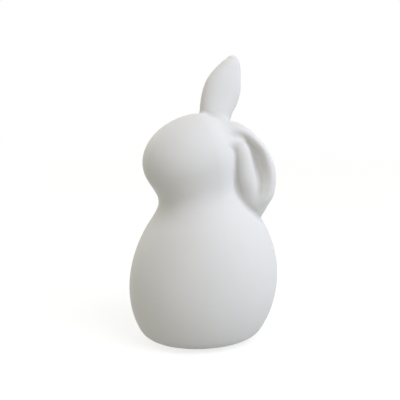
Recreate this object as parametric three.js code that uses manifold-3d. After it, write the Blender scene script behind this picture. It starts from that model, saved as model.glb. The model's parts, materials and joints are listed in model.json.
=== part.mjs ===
// Rabbit figurine: a hollow, slip-cast ornament in matt white ceramic, standing on four felt pads.
//
// The body and the head are thin shells, joined round the neck. The two ears are pressed solid and joined
// on the crown: the rabbit's right ear stands up, the left ear lies back and hangs down the nape.
//
// Millimetres and degrees. +Z is up, the rabbit looks along -Y and its left side is +X. The origin lies on
// the table, under the middle of the whole figure. A bearing turns about the vertical, from the rabbit's
// left (0) through its back (90). A rise is the angle above the horizontal.

import * as THREE from 'three';
import { mergeVertices } from 'three/addons/utils/BufferGeometryUtils.js';
import Module from 'manifold-3d';

// Belly and chest: two ellipsoids that flow into each other
const BELLY_WIDTH = 84.6;
const BELLY_DEPTH = 93.4;
const BELLY_HEIGHT = 97.8;
const BELLY_CENTRE_HEIGHT = 31.4;
const CHEST_WIDTH = 73;
const CHEST_DEPTH = 73.4;
const CHEST_HEIGHT = 86.4;
const CHEST_SETBACK = 6.6;
const CHEST_LEAN = 12;
const TORSO_HEIGHT = 99.2;
const WAIST_BLEND = 25.5;

// Head: longer before its middle than behind it, nose slightly down, sunk into the top of the torso
const HEAD_WIDTH = 54;
const HEAD_FRONT = 37.4;
const HEAD_BACK = 21.5;
const HEAD_HEIGHT = 54.7;
const HEAD_FORWARD = 1;
const HEAD_NOD = 9.2;
const NECK_OVERLAP = 7.8;
const NECK_BLEND = 21.5;

// Cast walls, base and vent
const WALL = 4;
const FLOOR = 4;
const BASE_ROUNDING = 7;
const INNER_ROUNDING = 6;
const FOOT_RING_WIDTH = 9;
const RECESS_DEPTH = 1.5;
const VENT_DIAMETER = 14;

// Seam round the neck, higher at the nape than under the chin
const SEAM_RISE = 2.5;
const SEAM_TILT = 15.3;
const SEAM_GAP = 0.3;

// Felt pads under the foot ring
const PAD_COUNT = 4;
const PAD_DIAMETER = 7;
const PAD_THICKNESS = 1.2;

// Upright ear
const UPRIGHT_EAR_LENGTH = 43.3;
const UPRIGHT_EAR_WIDTH = 26;
const UPRIGHT_EAR_THICKNESS = 16;
const UPRIGHT_EAR_FACING = 183;
const UPRIGHT_EAR_FACING_RISE = -6;
const SCOOP_DEPTH = 2.6;
const SCOOP_RIM = 4.2;

// Drooping ear: a leaf with a dish in its face, and a roll that lies in the dish
const DROOPING_EAR_WIDTH = 26.8;
const DROOPING_EAR_THICKNESS = 16.8;
const DISH_WIDTH = 24;
const DISH_DEPTH = 9.3;
const DISH_BEARING = -30;
const DISH_PROUD = 5;
const ROLL_THICKNESS = 12.2;

// How far a limb's end bulges out, as a share of its last half thickness
const END_SHARE = 0.3;

// Gap of a luted joint between an ear and what it sits on
const EAR_GAP = 0.3;

// How finely the faces are cut
const OUTER_MESH = { columns: 44, turnRows: 6, middleRows: 16 };
const INNER_MESH = { columns: 32, turnRows: 4, middleRows: 12 };
const EAR_COLUMNS = 20;
const EAR_ROWS = 30;
const CAP_ROWS = 2;
const PAD_SIDES = 28;

// The upright ear from root to tip: bearing and rise seen from the head's centre, then the shares of the
// ear's length above the skin, of its width and of its thickness
const UPRIGHT_EAR_STATIONS = [
  { bearing: 120, rise: 49.5, length: -0.16, width: 0.77, thickness: 1 },
  { bearing: 118.4, rise: 55.4, length: 0.08, width: 0.8, thickness: 0.97 },
  { bearing: 117, rise: 59.2, length: 0.24, width: 0.9, thickness: 0.94 },
  { bearing: 114.5, rise: 61.1, length: 0.4, width: 0.98, thickness: 0.91 },
  { bearing: 112.3, rise: 62.5, length: 0.56, width: 0.95, thickness: 0.88 },
  { bearing: 110.2, rise: 63.3, length: 0.7, width: 0.8, thickness: 0.79 },
  { bearing: 108.5, rise: 63.7, length: 0.82, width: 0.62, thickness: 0.65 },
  { bearing: 107.5, rise: 64.1, length: 0.91, width: 0.48, thickness: 0.53 },
  { bearing: 107.1, rise: 64.5, length: 0.97, width: 0.34, thickness: 0.4 },
  { bearing: 107.1, rise: 64.9, length: 1, width: 0.21, thickness: 0.26 },
];

// The drooping ear from root to tip: bearing and rise seen from the head's centre, how deep the near edge
// would sink below the skin, the shares of its width and thickness, and the bearing that its face has
const DROOPING_EAR_STATIONS = [
  { bearing: 71.4, rise: 46.9, bite: 10.5, width: 0.37, thickness: 0.6, facing: -24 },
  { bearing: 64.3, rise: 39.7, bite: 2.4, width: 0.4, thickness: 0.62, facing: -26 },
  { bearing: 60.3, rise: 29.1, bite: -0.6, width: 0.46, thickness: 0.69, facing: -28 },
  { bearing: 58.3, rise: 15.9, bite: -1.5, width: 0.58, thickness: 0.79, facing: -30 },
  { bearing: 58.2, rise: 2.3, bite: -0.2, width: 0.81, thickness: 0.9, facing: -31 },
  { bearing: 59.3, rise: -14.7, bite: 0.4, width: 0.99, thickness: 1, facing: -32 },
  { bearing: 61, rise: -30.8, bite: -1.6, width: 0.96, thickness: 0.95, facing: -33 },
  { bearing: 62.6, rise: -39.6, bite: -4.4, width: 0.75, thickness: 0.79, facing: -34 },
  { bearing: 64.2, rise: -44.6, bite: 1.8, width: 0.45, thickness: 0.5, facing: -34 },
  { bearing: 65.1, rise: -46.4, bite: 10.3, width: 0.24, thickness: 0.31, facing: -34 },
];

// The dish in the drooping ear's face: place along the ear in stations, how far its middle lies aside as a
// share of the ear's half width, then the shares of the dish's width and depth
const DISH_STATIONS = [
  { place: 0.9, aside: -0.28, width: 0.1, depth: -0.4 },
  { place: 1.5, aside: -0.36, width: 0.22, depth: -0.1 },
  { place: 2.1, aside: -0.42, width: 0.42, depth: 0.3 },
  { place: 2.7, aside: -0.4, width: 0.62, depth: 0.58 },
  { place: 3.4, aside: -0.33, width: 0.84, depth: 0.82 },
  { place: 4.1, aside: -0.23, width: 1, depth: 0.96 },
  { place: 4.8, aside: -0.16, width: 1.05, depth: 1 },
  { place: 5.4, aside: -0.11, width: 1, depth: 0.82 },
  { place: 6, aside: -0.03, width: 0.86, depth: 0.44 },
  { place: 6.6, aside: 0.08, width: 0.7, depth: 0 },
  { place: 7.2, aside: 0.15, width: 0.5, depth: -0.4 },
];

// The roll along the drooping ear's edge: place along the ear in stations, how far it lies aside and before
// the ear's middle as shares of the ear's half width and half depth, then the share of its thickness
const ROLL_STATIONS = [
  { place: 0.6, aside: -0.93, before: -0.1, thickness: 0.52 },
  { place: 2.1, aside: -0.74, before: 0.14, thickness: 0.7 },
  { place: 2.8, aside: -0.68, before: 0.28, thickness: 0.75 },
  { place: 3.5, aside: -0.57, before: 0.34, thickness: 0.79 },
  { place: 4.3, aside: -0.48, before: 0.34, thickness: 0.85 },
  { place: 5, aside: -0.4, before: 0.33, thickness: 0.95 },
  { place: 5.6, aside: -0.27, before: 0.32, thickness: 0.98 },
  { place: 6.2, aside: -0.16, before: 0.27, thickness: 0.9 },
  { place: 6.8, aside: -0.1, before: 0.14, thickness: 0.76 },
  { place: 7.4, aside: -0.06, before: -0.05, thickness: 0.56 },
];

// The scoop in the upright ear's outer face: place along the ear in stations and the share of its depth
const SCOOP_STATIONS = [
  { place: 2, depth: 0.15 },
  { place: 3.2, depth: 0.8 },
  { place: 4.4, depth: 1 },
  { place: 5.6, depth: 0.8 },
  { place: 6.8, depth: 0.15 },
];

const radians = THREE.MathUtils.degToRad;
const wasm = await Module();
wasm.setup();

// Levels and centres that follow from the sizes
const footZ = PAD_THICKNESS;
const torsoTop = footZ + TORSO_HEIGHT;
const headRadii = radiiOf(HEAD_WIDTH, HEAD_FRONT, HEAD_BACK, HEAD_HEIGHT);
const headBottom = torsoTop - NECK_OVERLAP;
const headCentre = new THREE.Vector3(0, -HEAD_FORWARD, headBottom + headRadii.up);
const bellyRadii = radiiOf(BELLY_WIDTH, BELLY_DEPTH / 2, BELLY_DEPTH / 2, BELLY_HEIGHT);
const bellyCentre = new THREE.Vector3(0, 0, footZ + BELLY_CENTRE_HEIGHT);
const chestRadii = radiiOf(CHEST_WIDTH, CHEST_DEPTH / 2, CHEST_DEPTH / 2, CHEST_HEIGHT);
const chestCentre = new THREE.Vector3(0, CHEST_SETBACK, torsoTop - chestRadii.up);
const seamZ = headBottom + SEAM_RISE;
const floorTop = footZ + RECESS_DEPTH + FLOOR;
const cutterSize = 2 * (torsoTop + HEAD_FRONT + HEAD_BACK);

// How far an ellipsoid reaches from its middle: to the side, forwards, backwards and up
function radiiOf(width, front, back, height) {
  return { side: width / 2, front, back, up: height / 2 };
}

// Distance fields: negative inside, in millimetres near the surface

function ellipsoid(point, centre, radii, nod) {
  const x = point.x - centre.x;
  const dy = point.y - centre.y;
  const dz = point.z - centre.z;
  const y = dy * Math.cos(nod) + dz * Math.sin(nod);
  const z = dz * Math.cos(nod) - dy * Math.sin(nod);
  const length = y > 0 ? radii.back : radii.front;
  const scaled = Math.hypot(x / radii.side, y / length, z / radii.up);
  const slope = Math.hypot(x / radii.side ** 2, y / length ** 2, z / radii.up ** 2);
  return scaled * (scaled - 1) / Math.max(slope, Number.EPSILON);
}

function blend(a, b, rounding) {
  const overlap = Math.max(rounding - Math.abs(a - b), 0) / rounding;
  return Math.min(a, b) - overlap * overlap * rounding / 4;
}

function above(level, distance, z, rounding) {
  return -blend(-distance, z - level, rounding);
}

function bodyField(point) {
  const belly = ellipsoid(point, bellyCentre, bellyRadii, 0);
  const chest = ellipsoid(point, chestCentre, chestRadii, radians(CHEST_LEAN));
  const head = ellipsoid(point, headCentre, headRadii, radians(HEAD_NOD));
  return blend(blend(belly, chest, WAIST_BLEND), head, NECK_BLEND);
}

function outerField(point) {
  return above(footZ, bodyField(point), point.z, BASE_ROUNDING);
}

function innerField(point) {
  return above(floorTop, bodyField(point) + WALL, point.z, INNER_ROUNDING);
}

function earSeatField(point) {
  return outerField(point) - EAR_GAP;
}

function direction(bearing, rise) {
  const level = Math.cos(radians(rise));
  const turn = radians(bearing);
  return new THREE.Vector3(Math.cos(turn) * level, Math.sin(turn) * level, Math.sin(radians(rise)));
}

// How far from an inner point the skin lies, along a direction: first in steps that no wall fits between,
// then by halving the last step for as long as a number can tell its ends apart
function reach(field, origin, towards) {
  const probe = new THREE.Vector3();
  const isInside = (distance) => field(probe.copy(origin).addScaledVector(towards, distance)) <= 0;
  const step = WALL / 4;
  let outside = step;
  while (isInside(outside)) {
    outside += step;
  }
  let inside = outside - step;
  let middle = (inside + outside) / 2;
  while (middle > inside && middle < outside) {
    if (isInside(middle)) {
      inside = middle;
    } else {
      outside = middle;
    }
    middle = (inside + outside) / 2;
  }
  return inside;
}

// Solids and meshes

function solid(geometry) {
  geometry.deleteAttribute('normal');
  geometry.deleteAttribute('uv');
  const merged = mergeVertices(geometry);
  const corners = merged.index.array;
  const triangles = [];
  for (let i = 0; i < corners.length; i += 3) {
    const [a, b, c] = [corners[i], corners[i + 1], corners[i + 2]];
    if (a !== b && b !== c && c !== a) {
      triangles.push(a, b, c);
    }
  }
  return new wasm.Manifold(new wasm.Mesh({
    numProp: 3,
    vertProperties: merged.attributes.position.array,
    triVerts: Uint32Array.from(triangles),
  }));
}

function geometryOf(body) {
  const { vertProperties, triVerts } = body.getMesh();
  const geometry = new THREE.BufferGeometry();
  geometry.setAttribute('position', new THREE.BufferAttribute(Float32Array.from(vertProperties), 3));
  geometry.setIndex(new THREE.BufferAttribute(Uint32Array.from(triVerts), 1));
  geometry.computeVertexNormals();
  return geometry;
}

// The line up the middle of the figure, which the rings of a skin are drawn round
function axisPoint(z) {
  const nod = radians(HEAD_NOD);
  const height = headRadii.up;
  const length = z > headCentre.z ? headRadii.back : headRadii.front;
  const lean = Math.sin(nod) * Math.cos(nod) * (length ** 2 - height ** 2)
    / ((length * Math.sin(nod)) ** 2 + (height * Math.cos(nod)) ** 2);
  const headY = headCentre.y + lean * (z - headCentre.z);
  const share = THREE.MathUtils.smoothstep(z, bellyCentre.z, seamZ);
  return new THREE.Vector3(0, headY * share, z);
}

// Ring heights: close together where the skin turns over at the base and at the crown
function ringLevels(bottom, top, { turnRows, middleRows }) {
  const low = bottom + BASE_ROUNDING;
  const high = top - headRadii.up;
  const levels = [];
  for (let i = 0; i < turnRows; i += 1) {
    levels.push(bottom + (low - bottom) * (i / turnRows) ** 2);
  }
  for (let i = 0; i < middleRows; i += 1) {
    levels.push(THREE.MathUtils.lerp(low, high, i / middleRows));
  }
  for (let i = turnRows; i > 0; i -= 1) {
    levels.push(top - (top - high) * (i / turnRows) ** 2);
  }
  return levels;
}

// A closed skin round the axis, drawn out from a lathed form until each point lies on the field's surface
function castSkin(field, bottom, mesh) {
  const crown = axisPoint(headCentre.z);
  const upward = axisPoint(headCentre.z + 1).sub(crown).normalize();
  const top = crown.clone().addScaledVector(upward, reach(field, crown, upward)).z;
  const levels = ringLevels(bottom, top, mesh);
  const profile = [new THREE.Vector2(0, bottom)];
  levels.forEach((level) => profile.push(new THREE.Vector2(1, level)));
  profile.push(new THREE.Vector2(0, top));
  const geometry = new THREE.LatheGeometry(profile, mesh.columns);
  const position = geometry.attributes.position;
  for (let i = 0; i < position.count; i += 1) {
    const column = Math.floor(i / profile.length) % mesh.columns;
    const corner = profile[i % profile.length];
    const point = axisPoint(corner.y);
    if (corner.x > 0) {
      const towards = direction(360 * column / mesh.columns, 0);
      point.addScaledVector(towards, reach(field, point, towards));
    }
    position.setXYZ(i, point.x, point.y, point.z);
  }
  return solid(geometry);
}

// A limb is a curved form with an oval section, given by stations along its middle
class Limb {
  constructor(stations) {
    const smooth = (points) => new THREE.CatmullRomCurve3(points, false, 'catmullrom');
    this.last = stations.length - 1;
    this.middle = smooth(stations.map(({ centre }) => centre));
    this.size = smooth(stations.map((s) => new THREE.Vector3(s.halfWidth, s.halfDepth, 0)));
    this.face = smooth(stations.map(({ facing }) => facing));
  }

  at(place) {
    const share = THREE.MathUtils.clamp(place / this.last, 0, 1);
    const along = this.middle.getTangent(share);
    const facing = this.face.getPoint(share);
    facing.addScaledVector(along, -facing.dot(along)).normalize();
    const across = new THREE.Vector3().crossVectors(facing, along);
    const size = this.size.getPoint(share);
    return {
      centre: this.middle.getPoint(share),
      along,
      facing,
      across,
      halfWidth: size.x,
      halfDepth: size.y,
    };
  }

  // A sphere drawn out along the middle line, with rounded ends
  body(growth = 0) {
    const geometry = new THREE.SphereGeometry(1, EAR_COLUMNS, EAR_ROWS);
    const position = geometry.attributes.position;
    for (let i = 0; i < position.count; i += 1) {
      const row = Math.floor(i / (EAR_COLUMNS + 1));
      const turn = -2 * Math.PI * (i % (EAR_COLUMNS + 1) % EAR_COLUMNS) / EAR_COLUMNS;
      const place = this.last * (row - CAP_ROWS) / (EAR_ROWS - 2 * CAP_ROWS);
      const frame = this.at(place);
      const halfWidth = frame.halfWidth + growth;
      const halfDepth = frame.halfDepth + growth;
      const rowsFromEnd = Math.min(row, EAR_ROWS - row);
      const capTurn = Math.min(rowsFromEnd / CAP_ROWS, 1) * Math.PI / 2;
      const bulge = END_SHARE * Math.min(halfWidth, halfDepth);
      const overhang = bulge * Math.cos(capTurn) * Math.sign(place);
      const swell = rowsFromEnd === 0 ? 0 : Math.sin(capTurn);
      const point = frame.centre
        .addScaledVector(frame.along, overhang)
        .addScaledVector(frame.across, halfWidth * swell * Math.cos(turn))
        .addScaledVector(frame.facing, halfDepth * swell * Math.sin(turn));
      position.setXYZ(i, point.x, point.y, point.z);
    }
    return solid(geometry);
  }
}

// Where an ear's middle line passes, seen from the head's centre
function earPoint({ bearing, rise }, standoff) {
  const towards = direction(bearing, rise);
  const skin = reach(bodyField, headCentre, towards);
  return headCentre.clone().addScaledVector(towards, skin + standoff);
}

const uprightLimb = new Limb(UPRIGHT_EAR_STATIONS.map((station) => ({
  centre: earPoint(station, station.length * UPRIGHT_EAR_LENGTH),
  halfWidth: station.width * UPRIGHT_EAR_WIDTH / 2,
  halfDepth: station.thickness * UPRIGHT_EAR_THICKNESS / 2,
  facing: direction(UPRIGHT_EAR_FACING, UPRIGHT_EAR_FACING_RISE),
})));

const droopingLimb = new Limb(DROOPING_EAR_STATIONS.map((station) => {
  const halfWidth = station.width * DROOPING_EAR_WIDTH / 2;
  return {
    centre: earPoint(station, halfWidth - station.bite),
    halfWidth,
    halfDepth: station.thickness * DROOPING_EAR_THICKNESS / 2,
    facing: direction(station.facing, 0),
  };
}));

// The scoop follows the upright ear and leaves a rim on both sides
function scoopLimb() {
  return new Limb(SCOOP_STATIONS.map(({ place, depth }) => {
    const frame = uprightLimb.at(place);
    return {
      centre: frame.centre.addScaledVector(frame.facing, frame.halfDepth),
      halfWidth: frame.halfWidth - SCOOP_RIM,
      halfDepth: depth * SCOOP_DEPTH,
      facing: frame.facing,
    };
  }));
}

// The dish opens the drooping ear's face
function dishLimb() {
  return new Limb(DISH_STATIONS.map(({ place, aside, width, depth }) => {
    const frame = droopingLimb.at(place);
    const bulge = Math.sqrt(1 - aside ** 2);
    return {
      centre: frame.centre
        .addScaledVector(frame.across, frame.halfWidth * aside)
        .addScaledVector(frame.facing, frame.halfDepth * bulge + DISH_PROUD),
      halfWidth: width * DISH_WIDTH / 2,
      halfDepth: depth * DISH_DEPTH + DISH_PROUD,
      facing: direction(DISH_BEARING, 0),
    };
  }));
}

// The roll lies along the side of the dish that is turned to the head
function rollLimb() {
  return new Limb(ROLL_STATIONS.map(({ place, aside, before, thickness }) => {
    const frame = droopingLimb.at(place);
    const radius = thickness * ROLL_THICKNESS / 2;
    return {
      centre: frame.centre
        .addScaledVector(frame.across, frame.halfWidth * aside)
        .addScaledVector(frame.facing, frame.halfDepth * before),
      halfWidth: radius,
      halfDepth: radius,
      facing: frame.facing,
    };
  }));
}

// The flat under the figure, where the felt pads sit

function flatReach(bearing) {
  return reach(outerField, axisPoint(footZ), direction(bearing, 0));
}

const flatHalfWidth = flatReach(0);
const flatFront = flatReach(-90);
const flatBack = flatReach(90);
const flatCentreY = axisPoint(footZ).y + (flatBack - flatFront) / 2;
const flatHalfDepth = (flatBack + flatFront) / 2;

function uprightCylinder(radius, height, sides) {
  return new THREE.CylinderGeometry(radius, radius, height, sides).rotateX(Math.PI / 2);
}

function recessCutter() {
  const cutter = uprightCylinder(1, 2 * RECESS_DEPTH, OUTER_MESH.columns);
  cutter.scale(flatHalfWidth - FOOT_RING_WIDTH, flatHalfDepth - FOOT_RING_WIDTH, 1);
  cutter.translate(0, flatCentreY, footZ);
  return solid(cutter);
}

function ventCutter() {
  const cutter = uprightCylinder(VENT_DIAMETER / 2, 4 * (RECESS_DEPTH + FLOOR), PAD_SIDES);
  cutter.translate(0, flatCentreY, footZ);
  return solid(cutter);
}

// Everything on one side of the neck seam
function sideOfSeam(sign) {
  const cutter = new THREE.BoxGeometry(cutterSize, cutterSize, cutterSize);
  cutter.translate(0, 0, sign * (cutterSize + SEAM_GAP) / 2);
  cutter.rotateX(radians(SEAM_TILT));
  cutter.translate(0, 0, seamZ);
  return solid(cutter);
}

// Pieces

const ceramic = new THREE.MeshStandardMaterial({ color: '#e9e9e6', roughness: 0.65, metalness: 0 });
const bisque = new THREE.MeshStandardMaterial({ color: '#efeeea', roughness: 0.7, metalness: 0 });
const felt = new THREE.MeshStandardMaterial({ color: '#8d8a84', roughness: 1, metalness: 0 });

function piece(name, body, material) {
  const mesh = new THREE.Mesh(geometryOf(body), material);
  mesh.name = name;
  return mesh;
}

const hollowBody = castSkin(outerField, footZ, OUTER_MESH)
  .subtract(castSkin(innerField, floorTop, INNER_MESH));
const torso = hollowBody
  .intersect(sideOfSeam(-1))
  .subtract(recessCutter())
  .subtract(ventCutter());
const head = hollowBody.intersect(sideOfSeam(1));
const earSeat = castSkin(earSeatField, footZ, OUTER_MESH);
const uprightEar = uprightLimb.body()
  .subtract(earSeat)
  .subtract(scoopLimb().body());
const droopingEar = droopingLimb.body()
  .subtract(dishLimb().body())
  .add(rollLimb().body())
  .subtract(earSeat)
  .subtract(uprightLimb.body(EAR_GAP));

const figurine = new THREE.Group();
figurine.add(piece('torso_shell', torso, ceramic));
figurine.add(piece('head_shell', head, ceramic));
figurine.add(piece('upright_ear', uprightEar, bisque));
figurine.add(piece('drooping_ear', droopingEar, bisque));

for (let i = 0; i < PAD_COUNT; i += 1) {
  const bearing = 360 * (i + 0.5) / PAD_COUNT;
  const place = axisPoint(footZ).addScaledVector(
    direction(bearing, 0),
    flatReach(bearing) - FOOT_RING_WIDTH / 2,
  );
  const disc = solid(uprightCylinder(PAD_DIAMETER / 2, PAD_THICKNESS, PAD_SIDES));
  const pad = piece(`foot_pad_${i + 1}`, disc, felt);
  pad.position.set(place.x, place.y, PAD_THICKNESS / 2);
  figurine.add(pad);
}

// The origin goes under the middle of the whole figure
const outline = new THREE.Box3().setFromObject(figurine);
const middle = outline.getCenter(new THREE.Vector3());
figurine.position.set(-middle.x, -middle.y, 0);

export default figurine;
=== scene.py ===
"""Rabbit figurine: a slip-cast ornament in matt white glaze, standing on four felt pads.

The skin of the whole figure is one smooth form. It is cast hollow and parted along the lines where its
maker luted it together: round the neck, and round the roots of the two ears.

Metres. +Z is up, the rabbit looks along -Y and its left side is +X. A bearing turns about the vertical
from the rabbit's left through its back, and a rise is the angle above the horizontal.
"""

import json
import math

import bpy
import numpy as np
import openvdb
from bpy.props import FloatProperty, FloatVectorProperty, PointerProperty
from bpy.types import Operator, Panel, PropertyGroup
from mathutils import Matrix, Vector

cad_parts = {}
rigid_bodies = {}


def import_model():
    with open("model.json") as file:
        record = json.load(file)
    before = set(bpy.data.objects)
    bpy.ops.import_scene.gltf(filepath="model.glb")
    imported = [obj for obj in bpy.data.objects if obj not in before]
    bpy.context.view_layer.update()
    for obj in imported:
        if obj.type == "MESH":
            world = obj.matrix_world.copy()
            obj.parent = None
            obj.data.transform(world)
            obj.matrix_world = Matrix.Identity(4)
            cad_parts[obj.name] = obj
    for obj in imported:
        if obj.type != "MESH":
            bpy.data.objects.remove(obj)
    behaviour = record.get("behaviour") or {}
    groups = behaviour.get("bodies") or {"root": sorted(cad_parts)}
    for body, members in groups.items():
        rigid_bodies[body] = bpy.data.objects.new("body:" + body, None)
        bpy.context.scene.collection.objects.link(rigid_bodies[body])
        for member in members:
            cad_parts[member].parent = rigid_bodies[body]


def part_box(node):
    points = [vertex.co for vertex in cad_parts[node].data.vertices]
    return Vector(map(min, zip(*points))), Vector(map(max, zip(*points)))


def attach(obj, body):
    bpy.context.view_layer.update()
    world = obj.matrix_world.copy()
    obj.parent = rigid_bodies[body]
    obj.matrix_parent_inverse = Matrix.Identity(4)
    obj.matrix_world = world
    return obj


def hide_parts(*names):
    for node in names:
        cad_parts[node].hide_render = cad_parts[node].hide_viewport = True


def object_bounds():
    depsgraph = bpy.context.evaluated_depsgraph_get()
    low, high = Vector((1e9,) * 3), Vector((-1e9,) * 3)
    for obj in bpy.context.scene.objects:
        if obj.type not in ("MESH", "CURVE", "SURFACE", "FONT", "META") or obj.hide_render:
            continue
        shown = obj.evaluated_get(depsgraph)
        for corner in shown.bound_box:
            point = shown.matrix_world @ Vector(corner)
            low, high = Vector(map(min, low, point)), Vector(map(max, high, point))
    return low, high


for leftover in list(bpy.data.objects):
    bpy.data.objects.remove(leftover)

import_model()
CAD_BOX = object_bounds()

bl_info = {
    "name": "Rabbit figurine",
    "version": (1, 0, 0),
    "blender": (4, 5, 0),
    "location": "View3D > Sidebar > Rabbit",
    "description": "Casts a matt white ceramic rabbit from its body, head and two ears",
    "category": "Object",
}

MM = 0.001
PADS = ["foot_pad_1", "foot_pad_2", "foot_pad_3", "foot_pad_4"]
FOOT_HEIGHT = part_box(PADS[0])[1].z

# Limits of the sums: the least length that is divided by, the least slope that a point is settled on, and
# how many strides and then halvings look for the skin along a line
TINY = 1e-12
LEAST_SLOPE = 0.2
REACH_STRIDES = 100
REACH_HALVINGS = 30

# The grid that the form is sampled on: its step, how many fine cells a coarse one spans, how many coarse
# cells from the surface still get the fine ones, and the room that it leaves round the figure
STEP = 0.8 * MM
STRIDE = 4
NEAR_CELLS = 1.3
GRID_MARGIN = 6 * MM

# Where the castings part: how far an ear's share reaches past its form, how deep it goes into the wall, and
# the side of the block that parts the head from the body
EAR_REACH = 3 * MM
ROOT_DEPTH = 1.5 * MM
SEAM_BLOCK = 300 * MM

# A face lies on the skin when its middle is this near to it and both look the same way, by this cosine
ON_SKIN = 0.25 * MM
SAME_WAY = 0.7

# How the glaze lies: how much darker it is where the skin bends into a hollow, thicker glaze with painted
# shade, how much lighter where it bends over a rim, thinner glaze with painted highlight, what is taken off
# before it turns lighter, how high the foot is wiped and over what height that fades, and the same for the
# depth of the bare inside
POOLED_SHADE_PER_BEND = 4 * MM
THIN_HIGHLIGHT_PER_BEND = 2.4 * MM
THIN_HIGHLIGHT_START = 0.25
WIPED_HEIGHT = 0.25 * MM
WIPED_FADE = 0.6 * MM
INSIDE_DEPTH = 1.5 * MM
INSIDE_FADE = 1 * MM

# Sizes of the patches in the glaze and the felt, and the depths of their relief
CLOUD_SIZE = 26 * MM
WAVE_SIZE = 7 * MM
MOTTLE_SIZE = 2.6 * MM
DUST_SIZE = 0.28 * MM
WAVE_DEPTH = 0.05 * MM
GRAIN_DEPTH = 0.028 * MM
PIT_DEPTH = 0.012 * MM
CLAY_DEPTH = 0.09 * MM
FELT_PATCH_SIZE = 1.6 * MM
TUFT_DEPTH = 0.12 * MM

# The half section of a felt pad from the middle of its underside round to its top: shares of its radius and
# of its height. Beyond the share PAD_EDGE of its radius it is uneven.
PAD_PROFILE = [
    (0.3, 0),
    (0.55, 0),
    (0.78, 0),
    (0.9, 0.01),
    (0.955, 0.05),
    (0.985, 0.16),
    (1, 0.34),
    (0.99, 0.52),
    (1, 0.7),
    (0.985, 0.86),
    (0.95, 0.965),
    (0.88, 1),
    (0.7, 1),
    (0.4, 1),
]
PAD_EDGE = 0.9
PAD_POINTS = 96
PAD_UNEVENNESS = 0.035 * MM

# The upright ear from root to tip: bearing and rise seen from the head's centre, then the shares of the
# ear's length above the skin, of its width and of its thickness
STANDING_EAR_STATIONS = [
    (120, 49.5, -0.16, 0.77, 1),
    (118.4, 55.4, 0.08, 0.8, 0.97),
    (117, 59.2, 0.24, 0.9, 0.94),
    (114.5, 61.1, 0.4, 0.98, 0.91),
    (112.3, 62.5, 0.56, 0.95, 0.88),
    (110.2, 63.3, 0.7, 0.8, 0.79),
    (108.5, 63.7, 0.82, 0.62, 0.65),
    (107.5, 64.1, 0.91, 0.48, 0.53),
    (107.1, 64.5, 0.97, 0.34, 0.4),
    (107.1, 64.9, 1, 0.21, 0.26),
]

# The drooping ear from root to tip: bearing and rise seen from the head's centre, how deep the near edge
# would sink below the skin in millimetres, the shares of its width and thickness, and its face's bearing
HANGING_EAR_STATIONS = [
    (71.4, 46.9, 10.5, 0.37, 0.6, -24),
    (64.3, 39.7, 2.4, 0.4, 0.62, -26),
    (60.3, 29.1, -0.6, 0.46, 0.69, -28),
    (58.3, 15.9, -1.5, 0.58, 0.79, -30),
    (58.2, 2.3, -0.2, 0.81, 0.9, -31),
    (59.3, -14.7, 0.4, 0.99, 1, -32),
    (61, -30.8, -1.6, 0.96, 0.95, -33),
    (62.6, -39.6, -4.4, 0.75, 0.79, -34),
    (64.2, -44.6, 1.8, 0.45, 0.5, -34),
    (65.1, -46.4, 10.3, 0.24, 0.31, -34),
]

# The dish in the drooping ear's face: place along the ear in stations, how far its middle lies aside as a
# share of the ear's half width, then the shares of the dish's width and depth. It ends outside the face.
DISH_STATIONS = [
    (0.9, -0.28, 0.1, -0.4),
    (1.5, -0.36, 0.22, -0.1),
    (2.1, -0.38, 0.42, 0.3),
    (2.7, -0.32, 0.64, 0.57),
    (3.4, -0.24, 0.88, 0.77),
    (4.1, -0.14, 1.06, 0.86),
    (4.8, -0.06, 1.12, 0.86),
    (5.4, 0, 1.06, 0.68),
    (6, 0.05, 0.9, 0.34),
    (6.6, 0.1, 0.72, -0.06),
    (7.2, 0.15, 0.5, -0.4),
]

# The roll along the drooping ear's edge: place along the ear in stations, how far it lies aside and before
# the ear's middle as shares of the ear's half width and half depth, then the share of its thickness
ROLL_STATIONS = [
    (0.6, -0.93, -0.1, 0.52),
    (2.1, -0.74, 0.14, 0.7),
    (2.8, -0.68, 0.28, 0.75),
    (3.5, -0.57, 0.34, 0.79),
    (4.3, -0.48, 0.34, 0.85),
    (5, -0.4, 0.33, 0.95),
    (5.6, -0.27, 0.32, 0.98),
    (6.2, -0.16, 0.27, 0.9),
    (6.8, -0.1, 0.14, 0.76),
    (7.4, -0.06, -0.05, 0.56),
]

# The scoop in the upright ear's outer face: place along the ear in stations and the share of its depth
SCOOP_STATIONS = [(2, 0.15), (3.2, 0.8), (4.4, 1), (5.6, 0.8), (6.8, 0.15)]

# How far the floor reaches each way, in metres
FLOOR_REACH = 12

# The soft lamps: degrees to the right of the camera, degrees above the floor, watts and colour
LAMPS = [
    ("key_lamp", 40, 50, 7.5, (0.85, 0.865, 1)),
    ("side_lamp", 80, 15, 2.4, (0.63, 0.79, 1)),
    ("back_lamp", -130, 15, 2.5, (0.98, 1, 0.93)),
]

WHITE = (1, 1, 1)


def length(name, millimetres, description):
    """A size that a user may change"""
    return FloatProperty(name=name, description=description, default=millimetres * MM, min=0, unit="LENGTH")


def angle(name, degrees, description):
    """An angle that a user may change"""
    return FloatProperty(name=name, description=description, default=math.radians(degrees), unit="ROTATION")


def portion(name, share, description):
    """A share from 0 to 1 that a user may change"""
    return FloatProperty(name=name, description=description, default=share, min=0, max=1, subtype="FACTOR")


def number(name, value, description):
    """A plain number that a user may change"""
    return FloatProperty(name=name, description=description, default=value, min=0)


def colour(name, red, green, blue, description):
    """A colour that a user may change, in linear light"""
    return FloatVectorProperty(name=name, description=description, default=(red, green, blue),
                               min=0, max=1, size=3, subtype="COLOR")


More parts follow.
